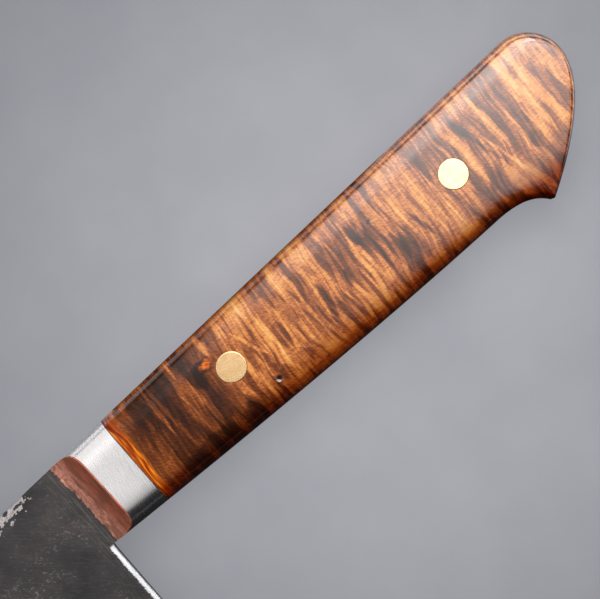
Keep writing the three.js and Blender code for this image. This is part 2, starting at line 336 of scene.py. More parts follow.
def closed_shell(outer, inner):
    """Points and faces of the closed body between two grids of the same shape."""
    rows, columns = len(outer), len(outer[0])
    count = rows * columns
    points = [p for row in outer for p in row] + [p for row in inner for p in row]
    faces = grid_faces(rows, columns)
    faces += [face[::-1] for face in grid_faces(rows, columns, count)]
    rim = [(0, c) for c in range(columns)] + [(r, columns - 1) for r in range(1, rows)]
    rim += [(rows - 1, c) for c in range(columns - 2, -1, -1)] + [(r, 0) for r in range(rows - 2, 0, -1)]
    for (r0, c0), (r1, c1) in zip(rim, rim[1:] + rim[:1]):
        a, b = r0 * columns + c0, r1 * columns + c1
        faces.append((b, a, a + count, b + count))
    return points, faces


def circle(x, radius, z, sides=64):
    """Points round the axis of a pin."""
    angles = [2 * math.pi * i / sides for i in range(sides)]
    return [(x + radius * math.cos(a), radius * math.sin(a), z) for a in angles]


def pierced(solid, *rings):
    """Closes a body with flat faces at two rings, both pierced by the holes for the pins."""
    holes = []
    for ring in rings:
        rims = [circle(x, PIN_RADIUS + PIN_CLEARANCE, ring[0][2]) for x in PIN_PLACES]
        loops = [ring, *rims]
        triangles = tessellate_polygon([[Vector(p) for p in loop] for loop in loops])
        solid.add([p for loop in loops for p in loop], triangles)
        holes.append(rims)
    for rims in zip(*holes):
        solid.wrap(rims)


def add_plate(solid, front, bottom, top, slot=0):
    """A plate under the handle behind one place, between two heights, pierced for the pins."""
    outline = [at for at, _ in handle_outline(front)]
    rings = [[(at.x, at.y, height) for at in outline] for height in (bottom, top)]
    solid.wrap(rings, slot)
    pierced(solid, *rings)


def rounded_side(outline, base, steps=24):
    """Rings of points from the outline, up and over the rounding, to the flat of the side."""
    rings = []
    for share in shares(steps):
        ring = []
        for i, (at, rounding) in enumerate(outline):
            inset, height = rounding_step(rounding, base, share)
            moved = at + inward(outline, i) * inset
            ring.append((moved.x, moved.y, height))
        rings.append(ring)
    return rings


def make_scale(name, mirrored, material):
    """A wooden scale: rounded over spine, butt and belly, flat on its side, pierced for the pins."""
    solid = Solid(mirrored)
    rings = rounded_side(handle_outline(GLUE_FILM), HALF_TANG + GLUE_FILM)
    solid.wrap(rings)
    pierced(solid, rings[0], rings[-1])
    return solid.piece(name, [material], "curly_wood")


def make_glue(name, mirrored, material):
    """A glue bed under a scale, and the line of glue between scale and bolster."""
    solid = Solid(mirrored)
    add_plate(solid, GLUE_FILM, HALF_TANG, HALF_TANG + GLUE_FILM)
    outer = [[side_point(place, x, HALF_TANG) for x in (0, GLUE_FILM)] for place in side_places()]
    inner = [[(x, y, HALF_TANG) for x, y, _ in row] for row in outer]
    solid.add(*closed_shell(outer, inner))
    return solid.piece(name, [material], "epoxy")


def side_places(round_steps=20, flat_steps=10):
    """Places across the side of the handle, from the spine to the belly, each a part and a share of it."""
    rise = shares(round_steps)
    places = [("spine", share) for share in rise]
    places += [("flat", share) for share in shares(flat_steps)[1:-1]]
    places += [("belly", share) for share in reversed(rise)]
    return places


def side_point(place, x, base):
    """Point of the handle's side above one height, at one place across it and one along the knife."""
    part, share = place
    belly, belly_rounding = belly_at(x)
    spine = spine_at(x)
    if part == "flat":
        return x, lerp(spine - spine_rounding(x)[0], belly + belly_rounding[0], share), HALF_HANDLE
    if part == "spine":
        inset, z = rounding_step(spine_rounding(x), base, share)
        return x, spine - inset, z
    inset, z = rounding_step(belly_rounding, base, share)
    return x, belly + inset, z


RAMP_HEIGHT = HALF_HANDLE - HALF_TANG - BRAZE_FILM - COAT


def ramp_toe(y):
    """Place of the ramp's toe along the knife: it leans forward at the spine."""
    return -BOLSTER_LENGTH - RAMP_LENGTH - y * math.tan(RAMP_LEAN)


def ramp_point(y, angle, grow=0.0):
    """Place along the knife and height of the ramp: its crest at angle 0, its toe at a right angle."""
    power = 2 / RAMP_FULLNESS
    x = ramp_toe(y) + (RAMP_LENGTH + grow) * max(math.cos(angle), 0) ** power
    return x, HALF_HANDLE - (RAMP_HEIGHT + grow) * math.sin(angle) ** power


def ramp_angle(z, grow=0.0):
    """Angle of the ramp at one height."""
    down = min((HALF_HANDLE - z) / (RAMP_HEIGHT + grow), 1)
    return math.asin(down ** (RAMP_FULLNESS / 2))


def crest(place, base, grow=0.0):
    """Where one line across the side meets the ramp."""
    x = -BOLSTER_LENGTH
    for _ in range(6):
        _, y, z = side_point(place, x, base)
        x = ramp_point(y, ramp_angle(z, grow), grow)[0]
    return side_point(place, x, base)


def make_bolster(name, mirrored, material, side_steps=14, ramp_steps=14):
    """A bolster cheek: the rounded side back to the joint, and the scooped ramp that the braze covers."""
    solid = Solid(mirrored)
    base = HALF_TANG + BRAZE_FILM
    outer = []
    for place in side_places():
        top = crest(place, base, COAT)
        row = [side_point(place, share * top[0], base) for share in shares(side_steps)]
        first, last = ramp_angle(top[2], COAT), ramp_angle(base, COAT)
        for share in shares(ramp_steps)[1:]:
            x, z = ramp_point(top[1], lerp(first, last, share), COAT)
            row.append((x, top[1], z))
        outer.append(row)
    inner = [[(x, y, base) for x, y, _ in row] for row in outer]
    solid.add(*closed_shell(outer, inner))
    return solid.piece(name, [material], "bolster_steel")


def braze_front(y):
    """Ragged front edge of the braze on the blade: it runs further forward at the spine."""
    slow = noise.noise(Vector((0.4 * y, 3.7, 0)))
    quick = noise.noise(Vector((1.5 * y, 8.1, 0)))
    lean = 0.03 * y + 0.5 * smoothstep(2, 8, y)
    return -BOLSTER_LENGTH - RAMP_LENGTH - lean + 0.5 * slow + 0.35 * quick


def braze_lump(x, y):
    """Height of the lumps that the braze froze into."""
    coarse = noise.noise(Vector((0.8 * y, 0.8 * x, 5.3)))
    fine = noise.noise(Vector((2.6 * y, 2.6 * x, 1)))
    return 0.14 * coarse + 0.06 * fine


def braze_line(place, ramp_steps=24, lump_steps=8, coat_steps=3, run_steps=4, nose_steps=5):
    """Outer and inner points of the coat on one line across the side, from its crest to its rounded nose."""
    top_x, y, top_z = crest(place, HALF_TANG)
    back_x = crest(place, HALF_TANG, COAT)[0]
    under = HALF_TANG - BRAZE_SINK
    front = max(min(braze_front(y), top_x - BRAZE_RUN), HEEL_X + BRAZE_STOP)
    reach = max((front + BRAZE_RUN - ramp_toe(y)) / RAMP_LENGTH, 0)
    first = ramp_angle(top_z)
    last = max(math.acos(min(reach ** (RAMP_FULLNESS / 2), 1)), first)
    outer = []
    for i in range(ramp_steps + 1):
        x, z = ramp_point(y, lerp(first, last, i / ramp_steps))
        lump = braze_lump(x, y) * min(i / lump_steps, 1)
        outer.append((x, y, min(z + lump, top_z)))
    inner = [(back_x, y, top_z)]
    for i, (x, _, z) in enumerate(outer[1:], 1):
        inner.append((lerp(back_x, x + COAT, min(i / coat_steps, 1)), y, max(z - COAT, under)))
    end_x, _, end_z = outer[-1]
    for share in shares(run_steps)[1:]:
        x = lerp(end_x, front, share)
        outer.append((x, y, lerp(end_z, min(end_z, HALF_TANG + BRAZE_RUN_HEIGHT), share)))
        inner.append((x, y, under))
    end_z = outer[-1][2]
    for share in shares(nose_steps)[1:]:
        angle = share * math.pi / 2
        x = front - BRAZE_NOSE * math.sin(angle)
        outer.append((x, y, lerp(HALF_TANG, end_z, math.cos(angle))))
        inner.append((x, y, under))
    return outer, inner


def braze_bed(steps=12):
    """Lower face of the film between cheek and tang, from the spine to the belly."""
    bed = []
    for share in shares(steps):
        y = lerp(spine_at(-BOLSTER_LENGTH), belly_at(-BOLSTER_LENGTH)[0], share)
        ends = (0, ramp_toe(y) + COAT)
        bed.append([(x, lerp(spine_at(x), belly_at(x)[0], share), HALF_TANG) for x in ends])
    return bed


def make_braze(name, mirrored, material):
    """A braze layer: the film under the cheek, and the rough coat down its ramp to a ragged edge."""
    solid = Solid(mirrored)
    lines = [braze_line(place) for place in side_places(round_steps=34, flat_steps=30)]
    solid.add(*closed_shell([outer for outer, _ in lines], [inner for _, inner in lines]))
    bed = braze_bed()
    film = [[(x, y, HALF_TANG + BRAZE_FILM) for x, y, _ in row] for row in bed]
    solid.add(*closed_shell(film, bed))
    return solid.piece(name, [material], "copper")


def make_pin(name, x, material):
    """A brass pin, its two faces flush with the scales and eased at the rim."""
    solid = Solid()
    inner = PIN_RADIUS - PIN_BEVEL
    profile = [(inner - PIN_BEVEL, HALF_HANDLE), (inner, HALF_HANDLE)]
    profile.append((PIN_RADIUS - PIN_BEVEL / 3, HALF_HANDLE - PIN_BEVEL / 3))
    profile.append((PIN_RADIUS, HALF_HANDLE - PIN_BEVEL))
    profile += [(radius, -z) for radius, z in reversed(profile)]
    rings = [circle(x, radius, z) for radius, z in profile]
    solid.wrap(rings)
    for ring in (rings[0], rings[-1]):
        solid.add(ring, [tuple(range(len(ring)))])
    return solid.piece(name, [material], "pin_brass")


def blade_curves():
    """Control points of the spine and of the edge, from the heel to the point."""
    top = Vector((HEEL_X, spine_at(HEEL_X)))
    heel = top - Vector((0, HEEL_HEIGHT))
    point = heel + Vector((-BLADE_LENGTH, TIP_RISE))
    straight = HEEL_X - SPINE_STRAIGHT * BLADE_LENGTH
    fall = Vector((math.cos(TIP_SPINE_ANGLE), math.sin(TIP_SPINE_ANGLE))) * SPINE_FALL * BLADE_LENGTH
    sweep = Vector((math.cos(TIP_EDGE_ANGLE), -math.sin(TIP_EDGE_ANGLE))) * EDGE_SWEEP * BLADE_LENGTH
    spine = [top, Vector((straight, spine_at(straight))), point + fall, point]
    edge = [heel, heel - Vector((EDGE_STRAIGHT * BLADE_LENGTH, 0)), point + sweep, point]
    return spine, edge


def blade_stations(heel_steps=9):
    """Distances in front of the heel at which the blade is cut into sections, closest at the heel."""
    stations = [HEEL_EASE * share ** 2 for share in shares(heel_steps)]
    place = HEEL_EASE
    while place < BLADE_LENGTH - TIP_ROOM:
        place += FINE_STEP if place < FINE_LENGTH else COARSE_STEP
        stations.append(place)
    return stations + [BLADE_LENGTH - left for left in LAST_SECTIONS]


def forged(x, y, side):
    """Uneven surface left by the hammer: broad dents and small pits in the scale, set into the steel."""
    fade = smoothstep(0.3, 4, HEEL_X - x)
    broad = noise.noise(Vector((0.11 * x, 0.13 * y, 3.0 * side)))
    fine = noise.noise(Vector((0.6 * x, 0.6 * y, 7.0 + 3 * side)))
    return fade * (DENT * broad + SCALE_PIT * fine - DENT)


def flat_half(x, y):
    """Half thickness of the blade's flat, which thins towards the point and the edge."""
    return HALF_TANG - THINNING_TO_TIP * (HEEL_X - x) - THINNING_TO_EDGE * (spine_at(HEEL_X) - y)


def blade_half(x, y, top, bottom):
    """Half thickness of the blade at one point of its side."""
    distance = HEEL_X - x
    bevel = lerp(bottom, top, BEVEL_SHARE)
    parallel = 1 - smoothstep(RICASSO, RICASSO + RICASSO_BLEND, distance)
    parallel *= smoothstep(bevel, -BELLY_FRONT - RICASSO_DROP, y)
    half = lerp(flat_half(x, y), HALF_TANG, parallel)
    if y < bevel:
        half = lerp(EDGE_HALF, flat_half(x, bevel), (y - bottom) / (bevel - bottom))
    run = min(distance / HEEL_EASE, 1)
    eased = HEEL_EASE_SHARE + (1 - HEEL_EASE_SHARE) * math.sqrt(1 - (1 - run) ** 2)
    below = smoothstep(-BELLY_FRONT - EASE_START, -BELLY_FRONT - EASE_FULL, y)
    return half * lerp(1, eased, below)


def blade_section(x, spine, edge, ease_steps=3, flat_steps=80, bevel_steps=26):
    """Points round one section of the blade, each with its depth below the spine and share of the height."""
    top = bezier(spine, crossing(spine, x)).y
    bottom = bezier(edge, crossing(edge, x)).y
    bevel = lerp(bottom, top, BEVEL_SHARE)
    ease = min(SPINE_EASE, 0.3 * (top - bottom), 0.5 * blade_half(x, top, top, bottom))
    half = blade_half(x, top - ease, top, bottom)
    side = []
    for share in shares(ease_steps):
        angle = share * math.pi / 2
        side.append((top - ease * (1 - math.cos(angle)), half - ease * (1 - math.sin(angle))))
    heights = [lerp(top - ease, bevel, share) for share in shares(flat_steps)[1:]]
    heights += [lerp(bevel, bottom, share) for share in shares(bevel_steps)[1:]]
    side += [(y, blade_half(x, y, top, bottom)) for y in heights]
    ring = []
    for sign, places in ((1, side), (-1, side[::-1])):
        for y, half in places:
            dent = forged(x, y, sign) if bevel < y < top - ease else 0
            share = (y - bottom) / max(top - bottom, 0.01)
            ring.append(((x, y, sign * (half + dent)), top - y, share))
    return ring


def note_skin(corners, told, layers):
    """Notes each corner's depth below the spine and share of the height, for the blade's material."""
    for corner, values in zip(corners, told):
        for layer, value in zip(layers, values):
            corner[layer] = value


def add_blade(solid, layers):
    """The blade through its sections, closed at the heel and at the point."""
    spine, edge = blade_curves()
    rings = [blade_section(HEEL_X - distance, spine, edge) for distance in blade_stations()]
    count = len(rings[0])
    corners = solid.wrap([[p for p, *_ in ring] for ring in rings])
    note_skin(corners, [told for ring in rings for _, *told in [*ring, ring[0]]], layers)
    strips = [(i, i + 1, count - 2 - i, count - 1 - i) for i in range(count // 2 - 1)]
    for ring in (rings[0], rings[-1]):
        corners = solid.add([p for p, *_ in ring], strips)
        note_skin(corners, [told for _, *told in ring], layers)


def add_tang(solid, layers):
    """The tang, a plate under the whole handle with a satin edge."""
    before = len(solid.mesh.verts)
    add_plate(solid, HEEL_X, -HALF_TANG, HALF_TANG, slot=1)
    solid.mesh.verts.ensure_lookup_table()
    corners = solid.mesh.verts[before:]
    note_skin(corners, [TANG_SKIN] * len(corners), layers)


def make_blade(name, forge, satin):
    """The forging: the blade through its sections, and the tang as a plate under the whole handle."""
    solid = Solid()
    floats = solid.mesh.verts.layers.float
    layers = [floats.new(told) for told in ("below_spine", "height_share")]
    add_blade(solid, layers)
    add_tang(solid, layers)
    return solid.piece(name, [forge, satin], "forged_steel", sharp=30)


class Nodes:
    """A node tree under construction, with short names for what is done in it."""

    def __init__(self, tree):
        self.tree = tree

    def node(self, kind, *values, **settings):
        """A new node with some settings, its first inputs fed."""
        made = self.tree.nodes.new(kind)
        for key, value in settings.items():
            setattr(made, key, value)
        for value, socket in zip(values, made.inputs):
            self.link(value, socket)
        return made

    def link(self, source, socket):
        """Feeds a socket from another node's output, or sets it to a plain value."""
        if isinstance(source, bpy.types.NodeSocket):
            self.tree.links.new(source, socket)
        else:
            socket.default_value = source

    def math(self, operation, *values):
        return self.node("ShaderNodeMath", *values, operation=operation).outputs[0]

    def plus(self, first, second):
        return self.math("ADD", first, second)

    def times(self, first, second):
        return self.math("MULTIPLY", first, second)

    def line(self, value, slope, start):
        """A value times a slope, added to a start."""
        return self.math("MULTIPLY_ADD", value, slope, start)

    def vector(self, operation, *values):
        made = self.node("ShaderNodeVectorMath", *values, operation=operation)
        return made.outputs["Value" if operation == "LENGTH" else "Vector"]

    def split(self, place):
        return self.node("ShaderNodeSeparateXYZ", place).outputs

    def ease(self, value, low, high, first=0.0, last=1.0):
        """Smooth step of a value from one limit to the other."""
        limits = (low, high, first, last)
        return self.node("ShaderNodeMapRange", value, *limits, interpolation_type="SMOOTHSTEP").outputs[0]


class Look(Nodes):
    """A material under construction, whose places are in the knife's millimetres."""

    def __init__(self, name):
        self.material = bpy.data.materials.new(name)
        self.material.use_nodes = True
        super().__init__(self.material.node_tree)
        self.shader = self.tree.nodes["Principled BSDF"]
        where = self.node("ShaderNodeTexCoord").outputs["Object"]
        from_origin = self.vector("SUBTRACT", where, tuple(ORIGIN))
        self.place = self.vector("MULTIPLY", from_origin, (1 / MM, 1 / MM, 1 / MM))
        self.x, self.y, self.z = self.split(self.place)

    def set(self, **values):
        """Sets or feeds the shader's own sockets."""
        for key, value in values.items():
            self.link(value, self.shader.inputs[key.replace("_", " ")])

    def turned(self, place, degrees):
        """Places turned about the axis across the knife, so that a pattern along X runs at that angle."""
        made = self.node("ShaderNodeMapping", place)
        made.inputs["Rotation"].default_value = (0, 0, math.radians(-degrees))
        return made.outputs[0]

    def noise(self, place, scale=1, detail=2, roughness=0.5, colour=False):
        """Noise over some places, with one scale for all directions or one for each."""
        scales = scale if isinstance(scale, tuple) else (scale, scale, scale)
        made = self.node("ShaderNodeTexNoise", self.vector("MULTIPLY", place, scales))
        made.inputs["Scale"].default_value = 1
        made.inputs["Detail"].default_value = detail
        made.inputs["Roughness"].default_value = roughness
        return made.outputs["Color" if colour else "Fac"]

    def shaken(self, scale, detail, reach):
        """Places moved by a noise, so that a pattern on them wanders."""
        wander = self.noise(self.place, scale, detail, colour=True)
        offset = self.vector("SUBTRACT", wander, (0.5, 0.5, 0.5))
        return self.vector("ADD", self.place, self.vector("MULTIPLY", offset, reach))

    def ramp(self, value, stops):
        made = self.node("ShaderNodeValToRGB", value)
        points = made.color_ramp.elements
        while len(points) < len(stops):
            points.new(0.5)
        for point, (place, colour) in zip(points, stops):
            point.position = place
            point.color = (*colour, 1)
        return made.outputs[0]

    def between(self, value, dark, pale):
        """Colours from a dark to a pale one over the middle of a noise."""
        return self.ramp(value, [(0.3, dark), (0.7, pale)])

    def mix(self, share, first, second, blend="MIX"):
        made = self.node("ShaderNodeMix", data_type="RGBA", blend_type=blend)
        self.link(share, made.inputs[0])
        for source, socket in ((first, made.inputs[6]), (second, made.inputs[7])):
            self.link((*source, 1) if isinstance(source, tuple) else source, socket)
        return made.outputs[2]

    def bump(self, height, distance, strength=1.0, socket="Normal"):
        """Feeds the normal of the shader or its coat from a height, with the height of 1 in millimetres."""
        made = self.node("ShaderNodeBump")
        self.link(height, made.inputs["Height"])
        made.inputs["Distance"].default_value = distance * MM
        made.inputs["Strength"].default_value = strength
        self.link(made.outputs[0], self.shader.inputs[socket])

    def attribute(self, name):
        return self.node("ShaderNodeAttribute", attribute_name=name).outputs["Fac"]

    def mark(self, place, x, y, wide, high, lean):
        """Places about a mark seen on the side: 1 at its half width and its half height from its middle."""
        made = self.node("ShaderNodeMapping", place, vector_type="TEXTURE")
        middle = PHOTO_MIDDLE.lerp(Vector((x, y)), 1 - HALF_HANDLE / CAMERA_DISTANCE)
        made.inputs["Location"].default_value = (*middle, 0)
        made.inputs["Rotation"].default_value = (0, 0, math.radians(-lean))
        made.inputs["Scale"].default_value = (wide, high, 1000)
        return made.outputs[0]

    def spot(self, *mark):
        """Soft oval mark, 1 in its middle and 0 outside, leaning by some degrees from upright."""
        return self.ease(self.vector("LENGTH", self.mark(*mark)), 1.15, 0.45)

    def spindle(self, *mark):
        """Mark that tapers to both its ends, 1 along its middle and 0 outside."""
        across, along, _ = self.split(self.mark(*mark))
        taper = self.line(along, along, self.math("ABSOLUTE", across))
        return self.ease(taper, 1.08, 0.4)


# Marks of the figure as the photograph shows them on the side: place of the middle, half width, half height,
# lean of the top towards the butt in degrees, strength
DARK_FLAMES = [
    (5.6, 5.2, 1.2, 4.6, 0, 0.3),
    (6, -3.4, 2.4, 6, 0, 0.1),
    (12.8, 2, 1.3, 8, 0, 0.16),
    (14, -9.6, 9, 2.2, 0, 0.4),
    (20.4, 1.9, 1.9, 2.3, 0, 0.6),
    (22.4, 3.9, 3.4, 1.8, 0, 0.7),
    (21.6, -4.6, 1.5, 7, 0, 0.12),
    (25.7, -9.8, 2.5, 4, 0, 0.55),
    (35.2, -8.6, 2.1, 2.4, 0, 0.46),
    (40.2, -8.6, 1.7, 3, 0, 0.4),
    (45.9, -4.5, 0.8, 6, -5, 0.46),
    (48.9, 6.3, 0.5, 4, 0, 0.25),
    (50.9, -2.2, 1.15, 5.2, 8, 0.6),
    (53.2, -2.8, 0.9, 6, 0, 0.22),
    (56.8, -2.2, 1, 3, 22, 0.46),
    (63.2, 3.7, 1.3, 3.4, -6, 0.4),
    (65, 6.6, 0.8, 2.6, 12, 0.36),
    (65.8, -0.6, 1.1, 8, 0, 0.24),
    (70, -4.6, 0.9, 3.8, 14, 0.46),
    (72.7, -5.6, 1.45, 6, -3, 0.56),
    (75.6, -3, 0.5, 7.4, -14, 0.32),
    (78.7, -9.8, 0.5, 3.4, 21, 0.28),
    (82.9, 5.6, 1.4, 3.8, -4, 0.34),
    (84.7, -6, 2.3, 3.8, 0, 0.18),
    (94, 6.2, 1.6, 3, -12, 0.36),
    (95.3, 0.4, 0.5, 9, -16, 0.34),
    (98.2, -13.6, 1.5, 3.8, -35, 0.4),
    (105.4, 6, 2.3, 2.8, 0, 0.3),
    (105.7, 1, 1.9, 3.8, 0, 0.38),
    (104.9, -5.5, 1.8, 2.4, 0, 0.3),
    (114, 0, 2.4, 6, 0, 0.14),
]
BRIGHT_CURLS = [
    (9.6, 3.4, 0.7, 8, 1, 0.4),
    (10.9, 4, 0.6, 7.4, 0, 0.34),
    (9.1, -5.2, 0.4, 4.6, 6, 0.16),
    (15, -1.6, 1, 5.4, 0, 0.28),
    (16.8, 7.6, 0.4, 3, 0, 0.34),
    (18.3, -2.4, 0.6, 7.4, 0, 0.38),
    (24.9, 7.4, 0.9, 3.8, 0, 0.36),
    (32.9, 1, 0.55, 6, -22, 0.32),
    (35.3, 4.6, 0.6, 9, 2, 0.36),
    (37.1, 1.4, 0.55, 4.2, 0, 0.3),
    (37.6, -6.2, 1.1, 4.4, 0, 0.3),
    (40.7, 2.6, 1, 5.4, 0, 0.22),
    (45, 7, 2.2, 3.4, 0, 0.2),
    (49.9, -1.2, 0.4, 6.4, 8, 0.3),
    (51.5, 8.3, 1.1, 3.2, 0, 0.26),
    (59, 7.6, 1, 5, 0, 0.2),
    (62, -0.4, 1.5, 6, 0, 0.3),
    (69.8, 2.8, 0.5, 6, 0, 0.26),
    (73.5, 2.8, 1, 5, 0, 0.22),
    (79.4, 3.6, 0.45, 6, 0, 0.26),
    (82.3, -1.8, 0.35, 10, -1, 0.38),
    (91.4, 0.2, 1.2, 6.6, 0, 0.22),
    (94.6, -3.2, 1.1, 3, 0, 0.22),
    (98.4, -6, 0.5, 10, -14, 0.3),
    (96.4, 10.4, 0.8, 3, 0, 0.2),
    (99.3, 4, 0.45, 9, -3, 0.24),
    (100.8, -13.2, 0.9, 4, -12, 0.36),
    (103, 1, 0.5, 8, 2, 0.22),
    (104, -9, 1.1, 3, -20, 0.26),
    (108.3, 5.6, 1.2, 10, -8, 0.2),
    (111, 4.6, 1.2, 10.4, -5, 0.18),
]
PIT = (33, -8.1, 0.8, 0.75, 0)
PIT_DEPTH = 0.25
GRAIN_DEPTH = 0.02
RED_KNOT = (23.3, 3.8, 1.7, 1, 0)
SMALL_KNOT = (67.6, 4.1, 0.75, 0.42, -25)


# Colours of the figure from its darkest lines to its palest curls, and of the glowing strip at the joint
WOOD_COLOURS = [
    (0.0, (0.026, 0.008, 0.004)),
    (0.14, (0.05, 0.014, 0.005)),
    (0.26, (0.09, 0.022, 0.006)),
    (0.4, (0.2, 0.05, 0.01)),
    (0.505, (0.36, 0.096, 0.022)),
    (0.61, (0.56, 0.17, 0.04)),
    (0.735, (0.76, 0.275, 0.06)),
    (0.87, (0.86, 0.39, 0.095)),
    (1.0, (0.92, 0.5, 0.16)),
]
GLOW_COLOURS = [(0.36, (0.2, 0.018, 0.001)), (0.5, (0.54, 0.09, 0.001)), (0.64, (0.92, 0.29, 0.005))]


class Wood(Look):
    """Curly wood, with the patterns and places that its colours and its relief share."""

    def __init__(self):
        super().__init__("curly_wood")
        self.drifted = self.shaken((0.07, 0.09, 0.04), 1, (3.2, 6, 0))
        self.frayed = self.shaken((0.9, 0.3, 0.3), 2, (0.7, 1.6, 0))
        self.patches = self.noise(self.drifted, (0.11, 0.09, 0.05))
        self.licks = self.noise(self.turned(self.drifted, -5), (1.3, 0.11, 0.08), detail=1.5)
        self.pores = self.noise(self.turned(self.place, -41), (1.1, 3.6, 1.5))
        self.thickness = self.math("ABSOLUTE", self.z)
        # The rim: edge of the rounding on the spine's side, made paler and redder below as painted light on
        # its lit edge
        self.rim = self.times(self.ease(self.thickness, 8.6, 5), self.ease(self.y, 2, 6))
        # The beak's lower corner: painted darker below as the shade of its rounding, and given a thinner coat
        self.beak = self.times(self.ease(self.y, -9, -14), self.ease(self.x, 86, 92))
        self.pit = self.spot(self.place, *PIT)

    def broad_figure(self):
        """Lightness of flames, waves and hairs, lower towards the bolster and higher in the golden middle."""
        flames = self.noise(self.turned(self.drifted, 3), (0.5, 0.06, 0.05), detail=1.5)
        hairs = self.noise(self.turned(self.drifted, 3), (4, 0.3, 0.2))
        # The front's darkening is held back on the rim, where light is painted
        front = self.times(self.ease(self.x, 32, 22), self.line(self.rim, -0.8, 1))
        waves = self.ease(self.licks, 0.43, 0.57, -0.13, 0.12)
        golden = self.times(self.ease(self.x, 29, 35), self.ease(self.x, 63, 56))
        tone = self.ease(self.patches, 0.3, 0.7, 0.48, 0.76)
        tone = self.plus(tone, self.ease(flames, 0.45, 0.55, -0.15, 0.14))
        tone = self.line(waves, self.ease(front, 0, 1, 1, 0.55), tone)
        tone = self.plus(tone, self.line(hairs, 0.16, -0.08))
        tone = self.line(golden, 0.09, tone)
        return self.line(front, -0.46, tone)

    def marked(self, tone):
        """The figure with the flames and curls of the photograph, and ripples and pores across it."""
        for *mark, strength in DARK_FLAMES:
            tone = self.line(self.spindle(self.frayed, *mark), -0.6 * strength, tone)
        for *mark, strength in BRIGHT_CURLS:
            tone = self.line(self.spindle(self.frayed, *mark), strength, tone)
        ripples = self.noise(self.turned(self.vector("MULTIPLY", self.drifted, (0.8, 3.4, 0.4)), 6))
        in_light = self.ease(tone, 0.4, 0.75, 0.1, 0.65)
        tone = self.line(self.plus(ripples, -0.5), in_light, tone)
        tone = self.plus(tone, self.line(self.pores, 0.56, -0.28))
        # Painted light: the figure is paler on the rim
        return self.line(self.rim, 0.28, tone)

    def shaded(self, colour):
        """The colour with a redder rim as painted light, the glow at the joint, and belly and beak darker as
        painted shade.
        """
        # Painted light: the rim turned a redder orange
        colour = self.mix(self.rim, colour, (1, 0.62, 0.32), "MULTIPLY")
        from_joint = self.line(self.patches, 2.4, self.x)
        strip = self.times(self.ease(from_joint, 3.9, 3.1), self.ease(self.patches, 0.25, 0.5, 0.6, 1))
        stripe = self.noise(self.drifted, (1.8, 0.2, 0.2))
        colour = self.mix(strip, colour, self.ramp(stripe, GLOW_COLOURS))
        # Painted shade: darker towards the belly
        low = self.ease(self.line(self.patches, 3, self.y), -4.2, -8.2)
        colour = self.mix(low, colour, (0.62, 0.51, 0.42), "MULTIPLY")
        # Painted shade: the belly's rounding darker and deeper in colour
        rounded = self.ease(self.line(self.patches, 0.8, self.thickness), 9.6, 8.8)
        belly = self.times(rounded, self.ease(self.y, -4, -8))
        colour = self.mix(belly, colour, (0.56, 0.3, 0.11), "MULTIPLY")
        # Painted shade: the beak darker
        return self.mix(self.beak, colour, (0.62, 0.34, 0.16), "MULTIPLY")

    def knotted(self, colour):
        """The colour with the red knot, the small dark one, and the pit painted near black as the shade of
        its hollow.
        """
        ember = self.ramp(self.pores, [(0.35, (0.3, 0.03, 0.003)), (0.65, (0.95, 0.22, 0.01))])
        colour = self.mix(self.spot(self.frayed, *RED_KNOT), colour, ember)
        # The pit painted near black as painted shade of its hollow; the small knot is its own dark
        dark = self.math("MAXIMUM", self.spot(self.frayed, *SMALL_KNOT), self.pit)
        return self.mix(dark, colour, (0.012, 0.006, 0.005))


def curly_wood():
    """Curly wood under a clear gloss: upright flames of gold and dark brown, crossed by fine ripples."""
    look = Wood()
    tone = look.marked(look.broad_figure())
    colour = look.ramp(look.line(tone, 0.7, 0.12), WOOD_COLOURS)
    look.set(Base_Color=look.knotted(look.shaded(colour)), Roughness=look.line(look.pores, 0.2, 0.4))
    look.set(Coat_Weight=look.line(look.beak, -0.85, 1))
    look.set(Coat_Roughness=0.1, Coat_IOR=1.6, Specular_IOR_Level=0.0)
    relief = look.line(look.licks, 0.5, look.pores)
    look.bump(look.line(look.pit, -PIT_DEPTH / GRAIN_DEPTH, relief), GRAIN_DEPTH, 0.4)
    look.bump(look.pit, -PIT_DEPTH, 1.0, "Coat Normal")
    return look.material


def bolster_steel():
    """Satin steel, finely brushed across the handle."""
    look = Look("bolster_steel")
    brushed = look.noise(look.turned(look.place, 78), (0.25, 6, 1.2))
    clouds = look.noise(look.place, 0.3)
    colour = look.between(brushed, (0.85, 0.82, 0.81), (0.91, 0.885, 0.875))
    rough = look.line(clouds, 0.05, look.line(brushed, 0.1, 0.19))
    look.set(Base_Color=colour, Metallic=1.0, Roughness=rough)
    look.bump(brushed, 0.003, 0.4)
    return look.material


def copper():
    """Braze: rough copper, browner in upright streaks, and browner on the steep wall as painted shade."""
    look = Look("copper")
    grain = look.noise(look.place, 2.2, detail=4, roughness=0.65)
    streaks = look.noise(look.place, (0.9, 0.22, 0.5), detail=4)
    # Painted shade: the steep wall high on the ramp is painted a darker brown
    high = look.ease(look.math("ABSOLUTE", look.z), 2.4, 6)
    shades = [(0.3, (0.5, 0.18, 0.12)), (0.52, (0.85, 0.36, 0.26)), (0.74, (0.95, 0.6, 0.5))]
    colour = look.ramp(grain, shades)
    colour = look.mix(look.times(high, 0.85), colour, (0.52, 0.125, 0.06))
    colour = look.mix(look.ease(streaks, 0.44, 0.62, 0, 0.75), colour, (0.3, 0.115, 0.07))
    look.set(Base_Color=colour, Metallic=0.35, Roughness=look.line(grain, 0.3, 0.36))
    look.bump(grain, 0.12, 0.6)
    return look.material


